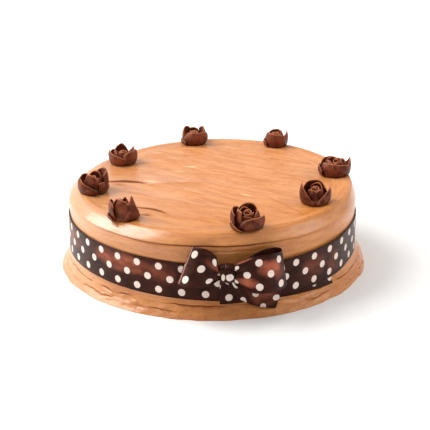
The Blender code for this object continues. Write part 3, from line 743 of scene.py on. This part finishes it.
def modelling_chocolate():
    """Dark modelling chocolate, kneaded smooth: faint cloudy tone, painted light making it a
    little paler on the roses at the back, painted shade dark at each petal's foot, a painted
    highlight pale on its thin rim, with a soft shine and a fine uneven skin."""
    finish = Finish("modelling_chocolate", Specular_IOR_Level=0.3, Specular_Tint=(1, 0.7, 0.55, 1))
    place = finish.place()
    cloudy = finish.cloud(place, 200, 3.0)
    skin = finish.cloud(place, 900, 2.0)
    height, back = finish.parts(finish.cloth())[1], finish.parts(place)[1]
    tone = finish.blend(cloudy.ramp(0.38, 0.62), colour(*CHOCOLATE_DARK), colour(*CHOCOLATE_PALE))
    for share, tint in (
            # Painted light: paler on the roses at the back
            (back.ramp(-0.03, 0.07) * 0.25, CHOCOLATE_BACK_LIGHT),
            # Painted shade at each petal's foot
            ((1 - height.ramp(0.0, 0.55)) * 0.35, CHOCOLATE_FOOT_SHADE),
            (skin.ramp(0.45, 0.65) * 0.3, CHOCOLATE_GRAIN),
            # Painted highlight on each thin rim
            (height.ramp(0.9, 0.99) * 0.75, CHOCOLATE_RIM_HIGHLIGHT)):
        tone = finish.blend(share, tone, colour(*tint))
    finish.set(Base_Color=tone, Roughness=cloudy.ramp(0.3, 0.7, 0.36, 0.52),
               Normal=finish.bump(cloudy * 0.0004 + skin * 0.00008, 0.7))
    return finish.material


def make_rose(name, rose, material):
    """Core, petals and bud in one mesh, set on the cake where the solid rose stands. The cloth
    map's second number is the share of the way up each petal."""
    azimuth, spot, reach, bud, petals = rose
    points, faces, heights, count = [], [], [], 0
    sheets = [petal_points(reach, petal, number) for number, petal in enumerate(petals)]
    sheets.append(bud_points(bud))
    for grid, thickness in sheets:
        shell, quads = thick_sheet(grid, thickness)
        points.append(shell)
        faces.append(quads + count)
        level = np.repeat(np.linspace(0, 1, grid.shape[0]), grid.shape[1])
        heights.append(np.tile(level, 2))
        count += len(shell)
    core = core_points(reach)
    points.append(core.reshape(-1, 3))
    faces.append(grid_faces(core.shape[0], core.shape[1], closed=True, first=count))
    heights.append(np.zeros(core.shape[0] * core.shape[1]))
    place = at_azimuth(azimuth, spot * MM, CAKE_HEIGHT + ROSE_LIFT)
    place[2] += tilt(place[0])
    heights = np.concatenate(heights)
    uv = np.stack([0 * heights, heights], axis=-1)
    points = np.concatenate(points) + place
    piece = new_piece(name + "_petals", points, np.concatenate(faces), material, uv)
    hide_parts(name)


# Along each strip, its upper and then its lower edge: mm round the cake from the knot, mm out
# from the strip's radius, and mm up. Each loop starts and ends inside the knot.
LEFT_LOOP = [
    ((-0.6, -1.4, 40), (-0.6, -1.4, 32)), ((-4.2, -1.6, 40.2), (-4.2, -1.6, 31.8)),
    ((-6.5, -2.6, 43.4), (-9.5, -2.6, 28.4)), ((-12, -3.4, 48.2), (-17.8, -3.4, 26.8)),
    ((-18.5, -3.4, 51.4), (-27.2, -3.2, 27.4)), ((-21.8, -1.8, 54), (-31.2, -1.6, 28.6)),
    ((-22.6, 0.5, 55), (-32.2, 1, 29.2)), ((-21.4, 2.9, 56.4), (-30.7, 4.6, 28.9)),
    ((-19, 4.8, 56.8), (-27.9, 7.6, 29)), ((-14.6, 6.5, 56.9), (-23.2, 10.3, 29.5)),
    ((-10.3, 6.5, 55), (-18, 10.3, 29.8)), ((-6.6, 5.2, 50.6), (-12.4, 8, 29.8)),
    ((-5.4, 3.2, 45), (-8, 4.4, 30.6)), ((-4.2, 1.5, 40.2), (-4.2, 1.5, 31.8)),
    ((-0.3, 1.2, 40), (-0.3, 1.2, 32)),
]
RIGHT_LOOP = [
    ((0.3, 1.2, 40), (0.3, 1.2, 32)), ((4.2, 1.5, 40.2), (4.2, 1.5, 31.6)),
    ((7.1, 3.4, 44), (7, 4.2, 28.2)), ((11.2, 5, 46.5), (11, 6.8, 26.4)),
    ((15.3, 6.5, 49.1), (15.6, 9.3, 24.6)), ((21.4, 8, 50.4), (21.6, 10.8, 23.8)),
    ((28, 8, 50.6), (29, 10.8, 23.6)), ((33.9, 6, 50.3), (35.8, 8, 23.2)),
    ((38, 3.2, 49.6), (41.2, 4.4, 23.8)), ((39.6, 0.6, 49.4), (43.3, 1, 24.2)),
    ((39.9, -1.8, 49.6), (43.3, -1.6, 24.4)), ((37.8, -3.4, 50), (41, -3.4, 24.4)),
    ((34, -3.8, 50.1), (36, -3.8, 24.2)), ((29.6, -3.8, 49.8), (30, -3.8, 24.2)),
    ((23.8, -3.4, 48.4), (23.6, -3.4, 24.8)), ((17, -3, 45.4), (16.6, -3, 26.4)),
    ((9, -2.2, 42), (9, -2.2, 29.4)), ((4.2, -1.6, 40.2), (4.2, -1.6, 31.6)),
    ((0.6, -1.4, 40), (0.6, -1.4, 32)),
]
TAIL = [
    ((-3, 0, 38), (-3, 0, 27.5)), ((2, 0, 38.2), (2, 0, 25.5)), ((7, 0, 38), (6, 0, 19)),
    ((12, 0, 37.4), (9.6, 0, 15)), ((18, 0, 35.8), (14, 0.2, 12.2)),
    ((25, 0, 33.2), (20, 0.5, 9.2)), ((33, 0, 30), (26.5, 0.8, 7)),
    ((40, 0, 27.4), (32, 1, 5.6)), ((46, 0, 25.2), (38, 1.2, 4.5)),
]
# The print, in mm: spots along a row, between rows, a spot's radius and its edge's blur
SPOT_PITCH, SPOT_ROW, SPOT_RADIUS, SPOT_BLUR = 16.59, 8.6, 2.55, 0.14
# Sheen on each length of ribbon: middle along and across and half sizes in mm, and strength
BAND_LIT = [
    (166, 5, 26, 7, 0.85), (132, 3, 10, 8, 0.35), (683, 1, 13, 9, 0.28), (660, -2, 8, 9, 0.24),
    (240, 3, 30, 7, 0.5), (390, 3, 34, 7, 0.5), (560, 3, 30, 8, 0.5),
]
LEFT_LIT = [(59, 6, 12, 5, 0.6), (66, -4, 9, 6, 0.3)]
RIGHT_LIT = [(31, 4, 9, 6, 1.25), (15, -6, 8, 4, 0.95), (39, 0, 5, 9, 0.3), (13, 12.4, 6, 0.9, 1.5)]
TAIL_LIT = [(34, 0, 12, 8, 0.45)]
# The satin's colours, as screen values
BROWN_DARK, BROWN_PALE, BROWN_SHEEN = (22, 8, 7), (36, 14, 11), (190, 102, 76)
BROWN_EDGE, BROWN_FOLD_GLINT = (36, 16, 12), (196, 132, 120)
CREAM_DARK, CREAM_PALE = (232, 212, 200), (246, 231, 221)


def satin(name, first_spot, lit=(), row_shift=0.0, printed=None, crease=None):
    """Dark brown satin printed with cream spots in three staggered rows. The cloth map is in
    mm along the ribbon and across it from its middle. first_spot is how far along an outer
    row's first spot is, and row_shift moves the rows across. lit holds the ovals of painted
    redder sheen. Where the wrong side shows, spots are kept to the printed length. A crease is
    a painted glint, a paler line across at its distance along where a fold catches the light."""
    finish = Finish(name, Specular_IOR_Level=0.22, Specular_Tint=(1, 0.5, 0.4, 1))
    along, across, _ = finish.parts(finish.cloth())
    across = across + row_shift
    row = (across / SPOT_ROW).maths("ROUND")
    middle = 1 - row.maths("ABSOLUTE").maths("MINIMUM", 1)
    place = (along - first_spot) / SPOT_PITCH + middle * 0.5
    aside = (place - place.maths("ROUND")) * SPOT_PITCH
    away = (aside ** 2 + (across - row * SPOT_ROW) ** 2) ** 0.5
    real_row = 1 - row.maths("ABSOLUTE").ramp(1.2, 1.4)
    spot = (1 - away.ramp(SPOT_RADIUS - SPOT_BLUR, SPOT_RADIUS + SPOT_BLUR)) * real_row
    if printed:
        start, end = printed
        spot = spot * along.ramp(start - 0.1, start) * (1 - along.ramp(end, end + 0.1))
    weave = finish.node("ShaderNodeTexWave", {"bands_direction": "Y"}, {
        "Vector": finish.cloth(), "Scale": 1.1, "Distortion": 0.6, "Detail": 1.0}).value(1)
    slubs = finish.cloud(finish.mapped(finish.cloth(), (0.04, 1.6, 1)), 1.0, 2.0)
    clouds = finish.cloud(finish.mapped(finish.cloth(), (0.09, 0.15, 1)), 1.0, 2.0).ramp(0.3, 0.7)
    sheen = clouds * 0.06
    for middle_along, middle_across, half_along, half_across, strength in lit:
        oval = (((along - middle_along) / half_along) ** 2
                + ((across - middle_across) / half_across) ** 2)
        sheen = sheen + (1 - oval.ramp(0, 1.5)) * (0.35 + 0.65 * clouds) * strength
    edge = across.maths("ABSOLUTE").ramp(12.4, 12.9)
    brown = finish.blend(slubs.ramp(0.3, 0.7), colour(*BROWN_DARK), colour(*BROWN_PALE))
    brown = finish.blend(sheen.maths("MINIMUM", 1) * 0.85, brown, colour(*BROWN_SHEEN))
    brown = finish.blend(edge * 0.5, brown, colour(*BROWN_EDGE))
    # A painted glint: a paler line across the satin where a fold catches the light
    if crease:
        line = 1 - (along - crease).maths("ABSOLUTE").ramp(0.3, 0.9)
        brown = finish.blend(line * 0.8, brown, colour(*BROWN_FOLD_GLINT))
    cream = finish.blend(slubs.ramp(0.35, 0.65), colour(*CREAM_DARK), colour(*CREAM_PALE))
    relief = weave * 0.00003 + slubs * 0.00015 + spot * 0.00006
    finish.set(Base_Color=finish.blend(spot, brown, cream), Roughness=0.33 + spot * 0.2,
               Normal=finish.bump(relief, 0.9))
    return finish.material


def strip(name, node, material, points, across=None):
    """A piece of ribbon from a grid of points, rows across it and columns along it, with the
    satin's thickness given by Solidify. Its cloth map runs along the middle row, and across is
    each row's place on the width in mm."""
    middle = points[points.shape[0] // 2]
    steps = np.linalg.norm(np.diff(middle, axis=0), axis=1)
    along = np.concatenate([[0], np.cumsum(steps)]) / MM
    if across is None:
        across = np.linspace(-0.5, 0.5, points.shape[0]) * RIBBON_WIDTH / MM
    uv = np.stack(np.broadcast_arrays(along[None, :], across[:, None]), axis=-1)
    piece = new_piece(name, points, grid_faces(*points.shape[:2]), material, uv)
    shell = piece.modifiers.new("thickness", "SOLIDIFY")
    shell.thickness, shell.offset = RIBBON_THICKNESS, 0
    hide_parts(node)


def make_band():
    """The length round the cake, inner end first: the height of its middle falls away to both
    ends, and over the last stretch its radius steps out by one layer."""
    turned = np.linspace(0, BAND_TURN, 700)[None, :]
    across = np.linspace(-1, 1, 13)[:, None]
    over = smooth((turned - BAND_OVERLAP) / 15)
    layer = RIBBON_WALL + BAND_STAND_OFF + over * BAND_LAYER
    inner_drop = 6.6 * np.maximum(0, 1 - turned / 110) ** 1.4
    outer_drop = 4.8 * np.maximum(0, (turned - 345) / 65)
    height = BAND_HEIGHT - (inner_drop + outer_drop) * MM + across * RIBBON_WIDTH / 2
    azimuth = np.broadcast_to(BAND_START - turned, height.shape)
    lengthways = at_azimuth(azimuth, 0.1, height) * [1, 1, 0.4]
    buckle = 0.12 * (1 + noise(lengthways, 11 * MM, seed=41)) * MM
    radius = layer + 1.25 * foot_swell((azimuth + 180) % 360 - 180, height) + buckle
    points = at_azimuth(azimuth, radius, height)
    first_spot = math.radians(BAND_START - SPOT_AZIMUTH) * SPOT_LINE
    strip("ribbon_round_cake", "ribbon_band", satin("satin_round_cake", first_spot, BAND_LIT),
          points)


def strip_points(edges, radius, columns, rows, pleat=0.0, crease=0.0):
    """Points between two edges laid round the cake. Where the strip is gathered to less than
    its width it is pleated, out by pleat * cos(pi (4 across + 0.3)), and a little further on
    it has a few broad creases, by crease * cos(pi (2.2 across + 0.55))."""
    shares = np.linspace(0, 1, columns)
    upper = spline([top for top, _ in edges], shares)
    lower = spline([bottom for _, bottom in edges], shares)
    across = np.linspace(-1, 1, rows)[:, None, None]
    place = lower + (upper - lower) * (across + 1) / 2
    width = np.linalg.norm(upper - lower, axis=-1)
    gathered = 1 - smooth((width - 9) / 15)
    aside = across[..., 0]
    folds = np.cos(math.pi * (4 * aside + 0.3)) * gathered * pleat
    creased = smooth((width - 10) / 8) * (1 - smooth((width - 16) / 12))
    folds = folds + crease * creased * np.cos(math.pi * (2.2 * aside + 0.55))
    out = place[..., 1] + folds
    azimuth = np.degrees(place[..., 0] / (KNOT_RADIUS / MM))
    return at_azimuth(azimuth, radius + out * MM, place[..., 2] * MM)


def make_wrap():
    """The short length round the bow's middle: a rounded box section, gathered into a narrow
    pleat on the left and a broad one on the right, with a deep crease between them that hides
    the middle of the ribbon."""
    turn = np.radians(np.linspace(90, 450, 91))[None, :]
    aside = np.linspace(-1, 1, 33)[:, None]
    wave = np.stack([np.cos(turn), np.sin(turn)])
    box = np.copysign(np.abs(wave) ** 0.6, wave)
    crown = 1 - 0.1 * np.abs(aside) ** 3
    crease = bell((aside + 0.2) / 0.12) + 0.35 * bell((aside - 0.55) / 0.1)
    dent = 0.2 * crease * np.maximum(0, wave[0]) ** 0.5
    bulge = 1 + 0.05 * np.cos(math.pi * (1.1 * aside - 0.35)) - dent
    height = KNOT_HEIGHT + KNOT_HALF_HEIGHT * box[1] * crown * (1 - 0.06 * crease)
    azimuth = np.degrees((KNOT_SHIFT + aside * KNOT_HALF_WIDTH) / KNOT_RADIUS) + 0 * turn
    points = at_azimuth(azimuth, KNOT_RADIUS + KNOT_HALF_DEPTH * box[0] * crown * bulge, height)
    aside = aside[:, 0]
    across = np.where(aside < -0.22, -8.6 + (aside + 0.6) * 10.3, 8.6 + (aside - 0.33) * 4.7)
    strip("bow_wrap", "bow_knot", satin("satin_wrap", 10.3), points,
          across)


def make_bow():
    """Two loops, the wrap over their middle, and the tail that hangs behind the right one."""
    left = strip_points(LEFT_LOOP, KNOT_RADIUS, columns=150, rows=27, pleat=0.5, crease=0.9)
    # The pale line painted 32.5 mm along is a glint on the loop's outer fold
    left_satin = satin("satin_left_loop", 4.0, LEFT_LIT, printed=(31, 200), crease=32.5)
    strip("bow_left_loop", "bow_loops", left_satin, left)
    right = strip_points(RIGHT_LOOP, KNOT_RADIUS, columns=190, rows=27, pleat=0.5, crease=1.0)
    right_satin = satin("satin_right_loop", 6.6, RIGHT_LIT, printed=(-9, 47))
    strip("bow_right_loop", "bow_loops", right_satin, right)
    make_wrap()
    tail = strip_points(TAIL, TAIL_RADIUS, columns=70, rows=15)
    tail_satin = satin("satin_tail", 3.2, TAIL_LIT, row_shift=4.2)
    strip("bow_tail_end", "bow_tail", tail_satin, tail)


CAKE_MIDDLE = Vector((0, 0, CAKE_HEIGHT / 2))


def make_studio():
    """A pale floor that runs far out under a pale sky, which is dimmer low down in front and
    on the right, one large soft light high on the left and a weaker one on the right."""
    paper = Finish("studio_paper", Base_Color=(0.93, 0.925, 0.92, 1), Roughness=0.9,
                   Specular_IOR_Level=0.1)
    far = 6.0
    corners = [(-far, -far, 0), (far, -far, 0), (far, far, 0), (-far, far, 0)]
    mesh = bpy.data.meshes.new("floor")
    mesh.from_pydata(corners, [], [(0, 1, 2, 3)])
    mesh.materials.append(paper.material)
    floor = bpy.data.objects.new("floor", mesh)
    bpy.context.scene.collection.objects.link(floor)
    world = bpy.data.worlds.new("sky")
    sky = Finish("sky", world, Color=(1, 0.99, 0.98, 1))
    across, back, up = sky.parts(sky.node("ShaderNodeTexCoord").socket("Generated"))
    ahead = (0 - back).ramp(-0.2, 0.9) * (1 - up.ramp(0.2, 0.8))
    sky.set(Strength=0.86 - 0.62 * ahead - across.ramp(-0.2, 1.0, 0.0, 0.2))
    bpy.context.scene.world = world
    bpy.context.scene.view_settings.view_transform = "Standard"
    # Name, place, width in metres, power in watts and colour
    lights = [
        ("key", (-1.15, 0.3, 1.2), 1.5, 31, (1, 0.98, 0.95)),
        ("fill", (1.3, -0.3, 0.8), 0.8, 6, (1, 0.97, 0.94)),
    ]
    for name, place, width, power, tint in lights:
        data = bpy.data.lights.new(name, "AREA")
        data.shape, data.size, data.energy, data.color = "DISK", width, power, tint
        light = bpy.data.objects.new(name, data)
        light.location = place
        aim = CAKE_MIDDLE - Vector(place)
        light.rotation_euler = aim.to_track_quat("-Z", "Y").to_euler()
        bpy.context.scene.collection.objects.link(light)


make_studio()
make_cake(buttercream())
chocolate = modelling_chocolate()
for rose_name, rose in ROSES.items():
    make_rose(rose_name, rose, chocolate)
make_band()
make_bow()
